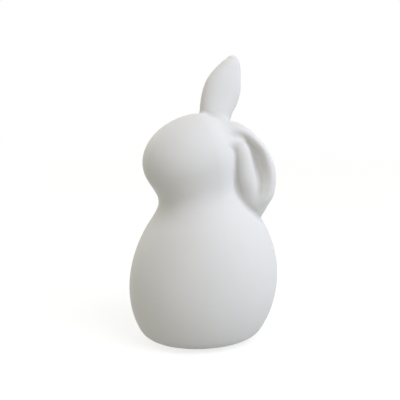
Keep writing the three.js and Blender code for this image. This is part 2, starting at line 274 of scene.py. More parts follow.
class BodySizes(PropertyGroup):
    """Sizes of the cast body and head"""

    belly_width: length("Belly width", 84.3, "Width of the belly's ellipsoid")
    belly_depth: length("Belly depth", 93.3, "Front to back of the belly's ellipsoid")
    belly_height: length("Belly height", 97.8, "Height of the belly's ellipsoid")
    belly_centre: length("Belly centre", 31.4, "Height of the belly's middle above the foot")
    chest_width: length("Chest width", 73, "Width of the chest's ellipsoid")
    chest_depth: length("Chest depth", 73.4, "Front to back of the chest's ellipsoid")
    chest_height: length("Chest height", 86.4, "Height of the chest's ellipsoid")
    chest_setback: length("Chest setback", 6.6, "How far the chest lies behind the belly's middle")
    chest_lean: angle("Chest lean", 12, "How far the chest leans forwards")
    torso_height: length("Torso height", 99.2, "From the foot to half the chest's height above its middle")
    waist_blend: length("Waist blend", 25.5, "How softly belly and chest flow together")
    head_width: length("Head width", 54, "Width of the head")
    head_front: length("Head front", 37.4, "From the head's middle to the tip of the muzzle")
    head_back: length("Head back", 21.5, "From the head's middle to the back of the head")
    head_height: length("Head height", 54.7, "Height of the head")
    head_forward: length("Head forward", 1, "How far the head lies before the belly's middle")
    head_nod: angle("Head nod", 9.2, "How far the muzzle points down")
    neck_overlap: length("Neck overlap", 7.8, "How deep the head sinks into the torso")
    neck_blend: length("Neck blend", 21.5, "How softly head and torso flow together")
    wall: length("Wall", 4, "Thickness of the cast wall")
    floor: length("Floor", 4, "Thickness of the cast base")
    base_rounding: length("Base rounding", 7, "Rounding of the foot's outer edge")
    inner_rounding: length("Inner rounding", 6, "Rounding inside the base")
    foot_ring: length("Foot ring", 9, "Width of the ring that the figure stands on")
    recess: length("Recess", 1.5, "Depth of the hollow inside the foot ring")
    vent: length("Vent", 14, "Diameter of the vent hole in the base")
    edge_rounding: length("Edge rounding", 0.9, "Rounding of the recess and of the vent's edge")
    seam_rise: length("Seam rise", 2.5, "Height of the neck seam above the head's lowest point")
    seam_tilt: angle("Seam tilt", 15.3, "How much higher the seam lies at the nape")


class EarSizes(PropertyGroup):
    """Sizes of the two ears"""

    standing_length: length("Standing ear length", 42.3, "How far the standing ear rises from the skin")
    standing_width: length("Standing ear width", 26, "Widest place of the standing ear")
    standing_thickness: length("Standing ear thickness", 16, "Thickness at the root of the standing ear")
    standing_facing: angle("Standing ear facing", 183, "Bearing of the standing ear's scooped face")
    standing_facing_rise: angle("Standing ear tilt", -6, "Rise of the standing ear's scooped face")
    standing_fillet: length("Standing ear fillet", 3.5, "How softly the standing ear meets the crown")
    scoop_depth: length("Scoop depth", 2.6, "Depth of the scoop in the standing ear")
    scoop_rim: length("Scoop rim", 4.2, "Rim that stays beside the scoop")
    scoop_fillet: length("Scoop fillet", 2.5, "Rounding of the scoop's edge")
    hanging_width: length("Hanging ear width", 26.8, "Widest place of the hanging ear")
    hanging_thickness: length("Hanging ear thickness", 16.8, "Thickest place of the hanging ear")
    hanging_fillet: length("Hanging ear fillet", 3.2, "Rounding of the crevice beside the hanging ear")
    crown_fillet: length("Crown fillet", 8, "Extra rounding where the hanging ear leaves the crown")
    crown_start: length("Crown fillet start", 4.4, "Height above the head's middle where it begins")
    crown_reach: length("Crown fillet reach", 8, "Height over which it grows")
    dish_width: length("Dish width", 24, "Widest place of the dish in the hanging ear")
    dish_depth: length("Dish depth", 9.3, "Deepest place of the dish")
    dish_bearing: angle("Dish bearing", -30, "Bearing that the dish opens to")
    dish_proud: length("Dish proud", 5, "How far the dish's cutter starts outside the face")
    dish_fillet: length("Dish fillet", 4.5, "Rounding of the dish's rim")
    roll_thickness: length("Roll thickness", 12.2, "Thickest place of the roll along the hanging ear")
    roll_fillet: length("Roll fillet", 2.5, "How softly the roll flows into the hanging ear")


class Finish(PropertyGroup):
    """Colours and texture of the glaze, the bare clay and the felt"""

    glaze: colour("Glaze", 0.745, 0.745, 0.735, "Matt white glaze")
    # Darker glaze in hollows and creases: partly thicker glaze, partly painted shade
    pooled_and_shade: colour("Pooled glaze", 0.66, 0.655, 0.635, "Thicker glaze in hollows and creases")
    # Lighter glaze over rims and edges: partly thinner glaze, partly painted highlight
    thin_and_highlight: colour("Thin glaze", 0.79, 0.785, 0.77, "Thinner glaze over rims and edges")
    clay: colour("Bare clay", 0.70, 0.655, 0.585, "Wiped, unglazed clay of the foot and the inside")
    glaze_roughness: portion("Glaze roughness", 0.6, "How matt the glaze is")
    cloud_tone: portion("Cloud tone", 0.05, "How much broad clouds change the glaze's colour")
    mottle_tone: portion("Mottle tone", 0.035, "How much small patches change the glaze's colour")
    speck_tone: portion("Speck tone", 0.22, "How strongly specks of clay show in the glaze")
    clay_tone: portion("Clay tone", 0.3, "How strongly the bare clay's darker grains show")
    grain: length("Glaze grain", 1.1, "Size of the fine grain in the glaze")
    felt: colour("Felt", 0.27, 0.26, 0.245, "Grey wool felt of the pads")
    felt_fibre: length("Felt fibre", 0.25, "Size of the tufts in the felt")


class StageSettings(PropertyGroup):
    """Camera, lamps, room light and floor"""

    azimuth: angle("Azimuth", 66, "From the rabbit's front round its left to the camera")
    elevation: angle("Elevation", 12, "How high the camera stands")
    distance: length("Distance", 640, "From the camera to the figure's middle")
    aim_height: length("Aim height", 91.7, "Height that the camera looks at")
    aim_aside: length("Aim aside", 0.46, "How far left of the figure's middle the camera looks")
    lens: number("Lens", 90, "Focal length in millimetres")
    lamp_size: length("Lamp size", 700, "Side of each soft lamp")
    lamp_distance: length("Lamp distance", 1000, "From each lamp to the figure's middle")
    lamp_target: length("Lamp target", 90, "Height that the lamps point at")
    room_light: number("Room light", 0.436, "Strength of the even light")
    room_colour: colour("Room colour", 1, 0.95, 0.76, "Slightly warm light of the room")
    floor_tone: colour("Floor tone", 0.6, 0.6, 0.59, "Pale floor, as it lights the figure from below")
    shadow_depth: portion("Shadow depth", 0.27, "How dark the figure's shadow on the floor is")
    floor_glow: number("Floor glow", 0.8, "Makes the lit floor white")
    floor_near: length("Floor shadow end", 250, "Where the floor begins to turn plain white")
    floor_far: length("Floor white start", 900, "Where the floor is plain white")


class Form:
    """The figure as distance fields: negative inside, in metres near the surface.

    It stands on the table with the belly's middle over the origin.
    """

    def __init__(self, body, ears, foot):
        self.size = body
        self.ears = ears
        self.foot = foot
        torso_top = foot + body.torso_height
        self.belly_radii = np.array([body.belly_width, body.belly_depth, body.belly_height]) / 2
        self.chest_radii = np.array([body.chest_width, body.chest_depth, body.chest_height]) / 2
        self.head_radii = np.array([body.head_width / 2, body.head_front, body.head_height / 2])
        head_bottom = torso_top - body.neck_overlap
        self.belly_centre = np.array([0, 0, foot + body.belly_centre])
        self.chest_centre = np.array([0, body.chest_setback, torso_top - self.chest_radii[2]])
        self.head_centre = np.array([0, -body.head_forward, head_bottom + self.head_radii[2]])
        self.seam_height = head_bottom + body.seam_rise
        self.floor_top = foot + body.recess + body.floor
        self.flat = self.flat_outline()
        self.standing = self.standing_limb()
        self.leaf = self.leaf_limb()
        self.dish = self.dish_limb()
        self.roll = self.roll_limb()
        self.scoop = self.scoop_limb()

    def casting(self, points):
        """Belly, chest and head flowing together, without ears and without a flat foot"""
        belly = oval(points - self.belly_centre, self.belly_radii)
        chest = oval(nodding(points, self.chest_centre, self.size.chest_lean), self.chest_radii)
        return blend(blend(belly, chest, self.size.waist_blend), self.head(points), self.size.neck_blend)

    def head(self, points):
        """The head: it nods, and is shorter behind its middle than before it"""
        parts = nodding(points, self.head_centre, self.size.head_nod)
        radii = np.tile(self.head_radii, (len(points), 1))
        radii[parts[:, 1] > 0, 1] = self.size.head_back
        return oval(parts, radii)

    def standing_ear(self, points):
        """The upright ear with its scoop"""
        return carve(self.standing(points), self.scoop(points), self.ears.scoop_fillet)

    def hanging(self, points):
        """The drooping ear's plain form: a leaf with a roll along its edge"""
        return np.minimum(self.leaf(points), self.roll(points))

    def hanging_ear(self, points):
        """The drooping ear, its leaf dished beside the roll"""
        dished = carve(self.leaf(points), self.dish(points), self.ears.dish_fillet)
        return blend(dished, self.roll(points), self.ears.roll_fillet)

    def skin(self, points):
        """The whole outside, with the recess under the foot and the vent"""
        form = carve(self.casting(points), points[:, 2] - self.foot, self.size.base_rounding)
        form = carve(form, self.underside(points), self.size.edge_rounding)
        form = blend(form, self.standing_ear(points), self.ears.standing_fillet)
        rise = points[:, 2] - self.head_centre[2] - self.ears.crown_start
        crown = smoothstep(rise / self.ears.crown_reach)
        fillet = self.ears.hanging_fillet + self.ears.crown_fillet * crown
        return blend(form, self.hanging_ear(points), fillet)

    def hollow(self, points):
        """The empty inside of the casting"""
        return carve(self.casting(points) + self.size.wall, points[:, 2] - self.floor_top,
                     self.size.inner_rounding)

    def underside(self, points):
        """The recess inside the foot ring, and the vent in its middle"""
        half_width, half_depth, middle = self.flat
        radii = np.array([half_width, half_depth]) - self.size.foot_ring
        across = (points[:, :2] - (0, middle)) / radii
        rim = (np.linalg.norm(across, axis=1) - 1) * radii.min()
        recess = np.maximum(rim, points[:, 2] - self.foot - self.size.recess)
        vent = np.linalg.norm(points[:, :2] - (0, middle), axis=1) - self.size.vent / 2
        vent = np.maximum(vent, points[:, 2] - self.floor_top - self.size.wall)
        return blend(recess, vent, self.size.edge_rounding)

    def flat_outline(self):
        """Half width, half depth and middle of the flat that the figure stands on"""
        def level(towards):
            origin = np.array([0, 0, self.foot])
            return reach(lambda points: self.casting(points) + self.size.base_rounding, origin, towards)
        front = level((0, -1, 0))
        back = level((0, 1, 0))
        return level((1, 0, 0)), (front + back) / 2, (back - front) / 2

    def ear_point(self, bearing, rise, standoff):
        """Where an ear's middle line passes, seen from the head's centre"""
        towards = direction(bearing, rise)
        return self.head_centre + towards * (reach(self.casting, self.head_centre, towards) + standoff)

    def standing_limb(self):
        """The upright ear's plain form"""
        ears = self.ears
        facing = direction(math.degrees(ears.standing_facing), math.degrees(ears.standing_facing_rise))
        return Limb([
            (self.ear_point(bearing, rise, share * ears.standing_length), width * ears.standing_width / 2,
             thickness * ears.standing_thickness / 2, facing)
            for bearing, rise, share, width, thickness in STANDING_EAR_STATIONS
        ], bulge=0.6)

    def leaf_limb(self):
        """The drooping ear's leaf"""
        stations = []
        for bearing, rise, bite, width, thickness, facing in HANGING_EAR_STATIONS:
            half_width = width * self.ears.hanging_width / 2
            centre = self.ear_point(bearing, rise, half_width - bite * MM)
            half_depth = thickness * self.ears.hanging_thickness / 2
            stations.append((centre, half_width, half_depth, direction(facing, 0)))
        return Limb(stations)

    def dish_limb(self):
        """What the dish takes out of the drooping ear's leaf"""
        stations = []
        opening = direction(math.degrees(self.ears.dish_bearing), 0)
        for place, aside, width, depth in DISH_STATIONS:
            at = self.leaf.at(place)
            outward = at.half_depth * math.sqrt(1 - aside ** 2) + self.ears.dish_proud
            centre = at.centre + at.across * at.half_width * aside + at.facing * outward
            half_width = width * self.ears.dish_width / 2
            half_depth = depth * self.ears.dish_depth + self.ears.dish_proud
            stations.append((centre, half_width, half_depth, opening))
        return Limb(stations, bulge=1)

    def roll_limb(self):
        """The roll along the drooping ear's edge"""
        stations = []
        for place, aside, before, thickness in ROLL_STATIONS:
            at = self.leaf.at(place)
            centre = at.centre + at.across * at.half_width * aside + at.facing * at.half_depth * before
            radius = thickness * self.ears.roll_thickness / 2
            stations.append((centre, radius, radius, at.facing))
        return Limb(stations)

    def scoop_limb(self):
        """What the scoop takes out of the upright ear"""
        stations = []
        for place, depth in SCOOP_STATIONS:
            at = self.standing.at(place)
            centre = at.centre + at.facing * (at.half_depth + (1 - depth) * self.ears.scoop_depth)
            half_width = at.half_width - self.ears.scoop_rim
            stations.append((centre, half_width, depth * self.ears.scoop_depth, at.facing))
        return Limb(stations, bulge=1)


class Station:
    """One place along a limb"""

    def __init__(self, centre, along, facing, half_width, half_depth):
        self.centre = centre
        self.along = along
        self.facing = facing
        self.across = np.cross(facing, along)
        self.half_width = half_width
        self.half_depth = half_depth


class Limb:
    """A curved form with an oval section, given by stations along its middle.

    The line is cut into SAMPLES. A point is measured against all of them that are about as near to it, to
    within SOFTNESS, which keeps the form smooth where it curls. Both ends are drawn out straight by MARGIN,
    and points beyond that are left at FAR. The ends bulge by a share of their smaller half thickness.
    """

    SAMPLES = 96
    SOFTNESS = 1.2 * MM
    MARGIN = 22 * MM
    MARGIN_SAMPLES = 18
    FAR = 30 * MM
    BATCH = 20000

    def __init__(self, stations, bulge=0.3):
        self.bulge = bulge
        self.last = len(stations) - 1
        places = np.linspace(0, self.last, self.SAMPLES)
        columns = (np.array(entries, float) for entries in zip(*stations))
        centre, half_width, half_depth, facing = (through(values, places) for values in columns)
        along = unit(np.gradient(centre, axis=0))
        facing = unit(facing - (facing * along).sum(1)[:, None] * along)
        self.line = Station(centre, along, facing, half_width, half_depth)
        self.length, self.spacing, self.rows = self.drawn_out()
        self.low = centre.min(0) - self.MARGIN
        self.high = centre.max(0) + self.MARGIN

    def drawn_out(self):
        """The line's length, then the spacing and the rows of its samples, with straight ends added"""
        line = self.line
        strides = np.linalg.norm(np.diff(line.centre, axis=0), axis=1)
        covered = np.concatenate([[0], np.cumsum(strides)])
        extra = np.linspace(0, self.MARGIN, self.MARGIN_SAMPLES + 1)[1:]
        covered_all = np.concatenate([-extra[::-1], covered, covered[-1] + extra])
        rows = np.column_stack([line.centre, line.across, line.facing, line.half_width, line.half_depth])
        rows = np.pad(rows, ((self.MARGIN_SAMPLES, self.MARGIN_SAMPLES), (0, 0)), "edge")
        rows[:self.MARGIN_SAMPLES, :3] -= extra[::-1, None] * line.along[0]
        rows[-self.MARGIN_SAMPLES:, :3] += extra[:, None] * line.along[-1]
        return covered[-1], np.gradient(covered_all), np.column_stack([rows, covered_all])

    def at(self, place):
        """The station at a place between the given ones"""
        share = place / self.last * (self.SAMPLES - 1)
        low = min(int(share), self.SAMPLES - 2)
        part = share - low
        line = self.line
        values = [(1 - part) * v[low] + part * v[low + 1]
                  for v in (line.centre, line.along, line.facing, line.half_width, line.half_depth)]
        return Station(*values)

    def __call__(self, points):
        result = np.full(len(points), self.FAR)
        near = np.flatnonzero(((points > self.low) & (points < self.high)).all(1))
        for batch in np.array_split(near, len(near) // self.BATCH + 1):
            result[batch] = self.distance(points[batch])
        return result

    def distance(self, points):
        """How far each point lies outside the form"""
        # A row holds the centre, the ways aside and before, the half width and depth and the length covered
        centres = self.rows[:, :3]
        nearness = (points @ centres.T - (centres ** 2).sum(1) / 2) / self.SOFTNESS ** 2
        weight = np.exp(nearness - nearness.max(1, keepdims=True)) * self.spacing
        mean = weight @ self.rows / weight.sum(1, keepdims=True)
        offset = points - mean[:, :3]
        aside = (offset * mean[:, 3:6]).sum(1)
        before = (offset * mean[:, 6:9]).sum(1)
        half_width, half_depth, covered = mean[:, 9:].T
        beyond = np.maximum(covered - self.length, 0) + np.maximum(-covered, 0)
        end = self.bulge * np.minimum(half_width, half_depth)
        radii = np.column_stack([half_width, half_depth, end])
        return oval(np.column_stack([aside, before, beyond]), radii)


def through(values, places):
    """A smooth curve through evenly spaced values"""
    last = len(values) - 1
    ends = np.concatenate([[2 * values[0] - values[1]], values, [2 * values[-1] - values[-2]]])
    start = np.minimum(places.astype(int), last - 1)
    part = places - start
    if values.ndim > 1:
        part = part[:, None]
    a, b, c, d = (ends[start + i] for i in range(4))
    return (2 * b + (c - a) * part + (2 * a - 5 * b + 4 * c - d) * part ** 2
            + (3 * b - a - 3 * c + d) * part ** 3) / 2


def direction(bearing, rise):
    """The unit vector of a bearing and a rise in degrees"""
    turn = math.radians(bearing)
    level = math.cos(math.radians(rise))
    return np.array([math.cos(turn) * level, math.sin(turn) * level, math.sin(math.radians(rise))])


def oval(parts, radii):
    """Distance from the surface of an ellipsoid, for points given along its axes"""
    scaled = np.linalg.norm(parts / radii, axis=1)
    slope = np.linalg.norm(parts / radii ** 2, axis=1)
    return scaled * (scaled - 1) / np.maximum(slope, TINY)


def nodding(points, centre, nod):
    """Points seen from a centre, along axes that nod about the sideways one"""
    x, y, z = (points - centre).T
    return np.stack([x, y * math.cos(nod) + z * math.sin(nod), z * math.cos(nod) - y * math.sin(nod)], 1)


def blend(a, b, rounding):
    """Two forms joined with a rounded crease"""
    overlap = np.maximum(rounding - np.abs(a - b), 0) / rounding
    return np.minimum(a, b) - overlap ** 2 * rounding / 4


def carve(a, b, rounding):
    """The first form without the second, with a rounded edge"""
    return -blend(-a, b, rounding)


def smoothstep(share):
    """A soft step from 0 to 1"""
    share = np.clip(share, 0, 1)
    return share * share * (3 - 2 * share)


def reach(field, origin, towards):
    """How far from an inner point the skin lies, along a direction"""
    towards = np.array(towards, float)
    distances = np.arange(1, REACH_STRIDES) * MM
    values = field(origin + distances[:, None] * towards)
    outside = distances[np.argmax(values > 0)]
    inside = outside - MM
    for _ in range(REACH_HALVINGS):
        middle = (inside + outside) / 2
        if field((origin + middle * towards)[None])[0] <= 0:
            inside = middle
        else:
            outside = middle
    return inside


def gradient(field, points, step=0.04 * MM):
    """How steeply a field grows at each point, along each axis"""
    slopes = []
    for axis in np.eye(3):
        slopes.append(field(points + axis * step) - field(points - axis * step))
    return np.stack(slopes, 1) / (2 * step)


def unit(vectors):
    """Vectors of length one"""
    return vectors / np.maximum(np.linalg.norm(vectors, axis=1), TINY)[:, None]


def bending(field, points, step=1.2 * MM):
    """How strongly a surface bends: positive on a rim, negative in a hollow, per metre"""
    total = -6 * field(points)
    for axis in np.eye(3):
        total += field(points + axis * step) + field(points - axis * step)
    return total / step ** 2


def sampled(field, low, high, step):
    """The field on a fine grid, worked out closely only near its surface"""
    cells = np.ceil((high - low) / (step * STRIDE)).astype(int) + 1
    coarse_axes = [low[i] + np.arange(cells[i] + 1) * step * STRIDE for i in range(3)]
    corners = np.stack(np.meshgrid(*coarse_axes, indexing="ij"), -1)
    coarse = field(corners.reshape(-1, 3)).reshape(cells + 1)
    close = np.abs(coarse) < step * STRIDE * NEAR_CELLS
    near = np.zeros(cells, bool)
    for x in (0, 1):
        for y in (0, 1):
            for z in (0, 1):
                near |= close[x:x + cells[0], y:y + cells[1], z:z + cells[2]]
    values = coarse[:-1, :-1, :-1]
    for axis in range(3):
        values = np.repeat(values, STRIDE, axis)
        near = np.repeat(near, STRIDE, axis)
    places = np.argwhere(near)
    values[near] = field(places * step + low)
    return values.astype(np.float32)


def polygons(field, low, high, step, settle=2):
    """A closed mesh of a field's surface: its points, settled on the surface, and its faces"""
    grid = openvdb.FloatGrid(1.0)
    grid.copyFromArray(sampled(field, low, high, step))
    grid.transform = openvdb.createLinearTransform(voxelSize=step)
    points, triangles, quads = grid.convertToPolygons(isovalue=0.0, adaptivity=0.0)
    points = points + low
    for _ in range(settle):
        slope = gradient(field, points)
        steepness = np.maximum((slope ** 2).sum(1), LEAST_SLOPE ** 2)
        points = points - slope * (field(points) / steepness)[:, None]
    return points, [tuple(face) for face in quads.tolist() + triangles.tolist()]


def mesh_object(name, points, faces):
    """A new object in the scene from points and faces"""
    mesh = bpy.data.meshes.new(name)
    mesh.from_pydata(np.asarray(points).tolist(), [], faces)
    made = bpy.data.objects.new(name, mesh)
    bpy.context.scene.collection.objects.link(made)
    return made


def boolean(name, base, operation, other):
    """A new object: base without other, or what the two share"""
    made = bpy.data.objects.new(name, base.data)
    bpy.context.scene.collection.objects.link(made)
    cut = made.modifiers.new(name, "BOOLEAN")
    cut.solver = "MANIFOLD"
    cut.operation = operation
    cut.object = other
    bpy.context.view_layer.update()
    evaluated = made.evaluated_get(bpy.context.evaluated_depsgraph_get())
    mesh = bpy.data.meshes.new_from_object(evaluated)
    made.modifiers.clear()
    made.data = mesh
    mesh.name = name
    if len(mesh.polygons) == 0:
        raise RuntimeError(f"{name}: nothing is left after the cut")
    return made


def seam_block(name, form):
    """A block that holds everything on the head's side of the neck seam"""
    corners = [(x, y, z) for x in (-1, 1) for y in (-1, 1) for z in (0, 2)]
    faces = [(0, 1, 3, 2), (4, 6, 7, 5), (0, 4, 5, 1), (2, 3, 7, 6), (0, 2, 6, 4), (1, 5, 7, 3)]
    turn = Matrix.Rotation(form.size.seam_tilt, 3, "X")
    seam = Vector((0, 0, form.seam_height))
    points = [turn @ Vector(corner) * SEAM_BLOCK / 2 + seam for corner in corners]
    return mesh_object(name, points, faces)


def ear_share(form, ear, other_ear):
    """The field of what belongs to one ear: where its own form is nearest, down to its root"""
    def share(points):
        own = ear(points)
        casting = form.casting(points)
        rest = np.minimum(casting, other_ear(points))
        return np.maximum(np.maximum(own - rest, own - EAR_REACH), -casting - ROOT_DEPTH)
    return share


CASTINGS = {}


def castings():
    """The four castings, parted along their seams; made once and kept"""
    if not CASTINGS:
        scene = bpy.context.scene
        form = Form(scene.rabbit_body, scene.rabbit_ears, FOOT_HEIGHT)
        step = STEP
        low = np.array(CAD_BOX[0]) - GRID_MARGIN
        high = np.array(CAD_BOX[1]) + GRID_MARGIN
        standing_share = ear_share(form, form.standing, form.hanging)
        hanging_share = ear_share(form, form.hanging, form.standing)
        skin = mesh_object("skin", *polygons(form.skin, low, high, step))
        hollow = mesh_object("hollow", *polygons(form.hollow, low, high, 2 * step))
        standing = mesh_object("standing", *polygons(standing_share, low, high, 2 * step, settle=0))
        hanging = mesh_object("hanging", *polygons(hanging_share, low, high, 2 * step, settle=0))
        block = seam_block("block", form)
        shell = boolean("shell", skin, "DIFFERENCE", hollow)
        bare = boolean("bare", shell, "DIFFERENCE", standing)
        plain = boolean("plain", bare, "DIFFERENCE", hanging)
        CASTINGS["form"] = form
        CASTINGS["standing_ear"] = boolean("standing_ear", shell, "INTERSECT", standing)
        CASTINGS["hanging_ear"] = boolean("hanging_ear", bare, "INTERSECT", hanging)
        CASTINGS["head_casting"] = boolean("head_casting", plain, "INTERSECT", block)
        CASTINGS["torso_casting"] = boolean("torso_casting", plain, "DIFFERENCE", block)
        box = np.array(skin.bound_box)
        middle = (box.min(0) + box.max(0)) / 2
        home = (np.array(CAD_BOX[0]) + np.array(CAD_BOX[1])) / 2
        CASTINGS["shift"] = Vector((home[0] - middle[0], home[1] - middle[1], 0))
        for scrap in (skin, hollow, standing, hanging, block, shell, bare, plain):
            bpy.data.objects.remove(scrap)
    return CASTINGS


def column(items, key, width=1, kind=float):
    """One property of all the points, faces or corners of a mesh"""
    values = np.empty(len(items) * width, kind)
    items.foreach_get(key, values)
    return values.reshape(-1, width) if width > 1 else values


def finished_casting(name, node):
    """One casting with its smooth skin, its glaze and its place in the frame"""
    kept = castings()
    form = kept["form"]
    piece = kept[name]
    mesh = piece.data
    points = column(mesh.vertices, "co", 3)
    smooth_skin(mesh, points, form)
    mark_glaze(mesh, points, form)
    mesh.materials.clear()
    mesh.materials.append(glaze_material())
    mesh.transform(Matrix.Translation(kept["shift"]))
    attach(piece, "root")
    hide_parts(node)


def smooth_skin(mesh, points, form):
    """Corner normals from the form itself, on the faces that lie on the skin or on the hollow"""
    centres = column(mesh.polygons, "center", 3)
    normals = column(mesh.polygons, "normal", 3)
    corners = column(mesh.loops, "vertex_index", kind=int)
    owner = np.repeat(np.arange(len(centres)), column(mesh.polygons, "loop_total", kind=int))
    result = normals[owner]
    for field, outward in ((form.skin, 1), (form.hollow, -1)):
        towards = outward * unit(gradient(field, centres))
        lies_on = (np.abs(field(centres)) < ON_SKIN) & ((towards * normals).sum(1) > SAME_WAY)
        chosen = lies_on[owner]
        at_points = outward * unit(gradient(field, points))
        result[chosen] = at_points[corners[chosen]]
    mesh.polygons.foreach_set("use_smooth", np.ones(len(centres), bool))
    mesh.normals_split_custom_set(result.tolist())


def mark_glaze(mesh, points, form):
    """Glaze at each point: darker in hollows, thicker glaze with painted shade; lighter on rims, thinner
    glaze with painted highlight; wiped off foot and inside
    """
    bend = bending(form.skin, points)
    # Darker where the skin bends into a hollow: glaze that pools, and painted shade
    pooled_and_shade = np.clip(-bend * POOLED_SHADE_PER_BEND, 0, 1)
    # Lighter where the skin bends over a rim: thinner glaze, and painted highlight
    thin_and_highlight = np.clip(bend * THIN_HIGHLIGHT_PER_BEND - THIN_HIGHLIGHT_START, 0, 1)
    foot = 1 - smoothstep((points[:, 2] - form.foot - WIPED_HEIGHT) / WIPED_FADE)
    inside = smoothstep((-form.casting(points) - INSIDE_DEPTH) / INSIDE_FADE)
    inside = inside * (form.skin(points) < -INSIDE_FADE)
    for name, values in (("pooled_and_shade", pooled_and_shade), ("thin_and_highlight", thin_and_highlight), ("bare", np.maximum(foot, inside))):
        attribute = mesh.attributes.new(name, "FLOAT", "POINT")
        attribute.data.foreach_set("value", values.astype(np.float32))


class Signal:
    """A shader socket that takes part in sums as a number does"""

    def __init__(self, nodes, socket):
        self.nodes = nodes
        self.socket = socket

    def math(self, operation, a, b):
        """A Math node for one operation"""
        return self.nodes.add("ShaderNodeMath", {"operation": operation}, {0: a, 1: b})

    def __add__(self, other):
        return self.math("ADD", self, other)

    def __radd__(self, other):
        return self.math("ADD", other, self)

    def __sub__(self, other):
        return self.math("SUBTRACT", self, other)

    def __rsub__(self, other):
        return self.math("SUBTRACT", other, self)

    def __mul__(self, other):
        return self.math("MULTIPLY", self, other)

    def __rmul__(self, other):
        return self.math("MULTIPLY", other, self)


class Nodes:
    """The nodes of one material or of the world"""

    def __init__(self, tree):
        self.tree = tree
        tree.nodes.clear()

    def add(self, kind, settings, sockets, output=0):
        """A node: its settings are set first, then its sockets are given values or links"""
        node = self.tree.nodes.new(kind)
        for name, value in settings.items():
            setattr(node, name, value)
        for key, value in sockets.items():
            if isinstance(value, Signal):
                self.tree.links.new(value.socket, node.inputs[key])
            else:
                node.inputs[key].default_value = value
        return Signal(self, node.outputs[output]) if len(node.outputs) else None

    def place(self):
        """The place on the object"""
        return self.add("ShaderNodeTexCoord", {}, {}, "Object")

    def attribute(self, name):
        """A value stored on the mesh"""
        return self.add("ShaderNodeAttribute", {"attribute_name": name}, {}, "Fac")

    def noise(self, size, detail=2.0, roughness=0.5, distortion=0.0):
        """Soft random patches of a size in metres"""
        return self.add("ShaderNodeTexNoise", {"noise_dimensions": "3D"}, {
            "Vector": self.place(), "Scale": 1 / size, "Detail": detail, "Roughness": roughness,
            "Distortion": distortion})

    def range(self, value, low, high, to_low=0.0, to_high=1.0):
        """A value stretched from one range to another with soft ends"""
        return self.add("ShaderNodeMapRange", {"interpolation_type": "SMOOTHSTEP"}, {
            "Value": value, "From Min": low, "From Max": high, "To Min": to_low, "To Max": to_high})

    def mix(self, share, first, second):
        """Two colours mixed"""
        return self.add("ShaderNodeMix", {"data_type": "RGBA"}, {0: share, 6: first, 7: second}, 2)

    def seen(self):
        """1 where the camera looks at it, straight, in a reflection or through glass, and otherwise 0"""
        kind = "ShaderNodeLightPath"
        seen = self.add(kind, {}, {}, "Is Camera Ray") + self.add(kind, {}, {}, "Is Glossy Ray")
        return seen + self.add(kind, {}, {}, "Is Transmission Ray")

    def bump(self, height, distance, normal=None):
        """A relief of a depth in metres"""
        sockets = {"Height": height, "Distance": distance, "Strength": 1.0}
        if normal is not None:
            sockets["Normal"] = normal
        return self.add("ShaderNodeBump", {}, sockets)


def opaque(rgb):
    """A colour with its alpha"""
    return (*rgb, 1)


def shaded(rgb, share):
    """A colour made darker by a share below 1, or lighter by one above it"""
    return opaque([min(share * part, 1) for part in rgb])


def new_material(name):
    """A new material and its nodes, none yet"""
    material = bpy.data.materials.new(name)
    material.use_nodes = True
    return material, Nodes(material.node_tree)


def glaze_material():
    """Matt white glaze, darker in creases where it pools, with painted shade, lighter on rims where it is
    thinner, with painted highlight, and bare clay where it was wiped off
    """
    if "matt_glaze" in bpy.data.materials:
        return bpy.data.materials["matt_glaze"]
    finish = bpy.context.scene.rabbit_finish
    material, nodes = new_material("matt_glaze")
    pooled_and_shade = nodes.attribute("pooled_and_shade")
    thin_and_highlight = nodes.attribute("thin_and_highlight")
    bare = nodes.attribute("bare")
    clouds = nodes.noise(CLOUD_SIZE, detail=3)
    mottle = nodes.noise(MOTTLE_SIZE, detail=3, roughness=0.6)
    grain = nodes.noise(finish.grain, detail=4, roughness=0.62)
    dust = nodes.noise(DUST_SIZE, detail=2, roughness=0.7)
    # Painted shade in creases, together with glaze that pools there
    pooling_and_shade = pooled_and_shade * nodes.range(mottle, 0.3, 0.7, 0.75, 1)
    colour = nodes.mix(pooling_and_shade, opaque(finish.glaze), opaque(finish.pooled_and_shade))
    # Painted highlight on rims, together with thinner glaze there
    thinning_and_highlight = thin_and_highlight * nodes.range(mottle, 0.35, 0.65, 0.5, 1)
    colour = nodes.mix(thinning_and_highlight, colour, opaque(finish.thin_and_highlight))
    cloudy = nodes.range(clouds, 0.3, 0.7, 0, finish.cloud_tone)
    mottled = nodes.range(mottle, 0.3, 0.7, 0, finish.mottle_tone)
    # Broad clouds and small patches shift the glaze at random towards the same darker tone
    colour = nodes.mix(cloudy + mottled, colour, opaque(finish.pooled_and_shade))
    specks = nodes.range(dust, 0.74, 0.8, 0, finish.speck_tone)
    colour = nodes.mix(specks, colour, opaque(finish.clay))
    grains = nodes.range(grain, 0.35, 0.7, 0, finish.clay_tone)
    clay = nodes.mix(grains, opaque(finish.clay), shaded(finish.clay, 0.8))
    worn_edge = nodes.range(bare + 0.25 * (mottle - 0.5), 0.42, 0.58)
    colour = nodes.mix(worn_edge, colour, clay)
    roughness = finish.glaze_roughness - 0.04 + 0.05 * clouds + 0.05 * mottle - 0.05 * pooled_and_shade
    roughness = roughness + 0.22 * worn_edge
    wave = nodes.bump(nodes.noise(WAVE_SIZE, detail=2), WAVE_DEPTH)
    fine = nodes.bump(grain, GRAIN_DEPTH, wave)
    pits = nodes.bump(nodes.range(dust, 0.6, 0.8, 0, -1), PIT_DEPTH, fine)
    relief = nodes.bump(grain * worn_edge, CLAY_DEPTH, pits)
    shader = nodes.add("ShaderNodeBsdfPrincipled", {}, {
        "Base Color": colour, "Roughness": roughness, "Normal": relief, "IOR": 1.46,
        "Specular IOR Level": 0.32, "Diffuse Roughness": 0.35})
    nodes.add("ShaderNodeOutputMaterial", {}, {"Surface": shader})
    return material


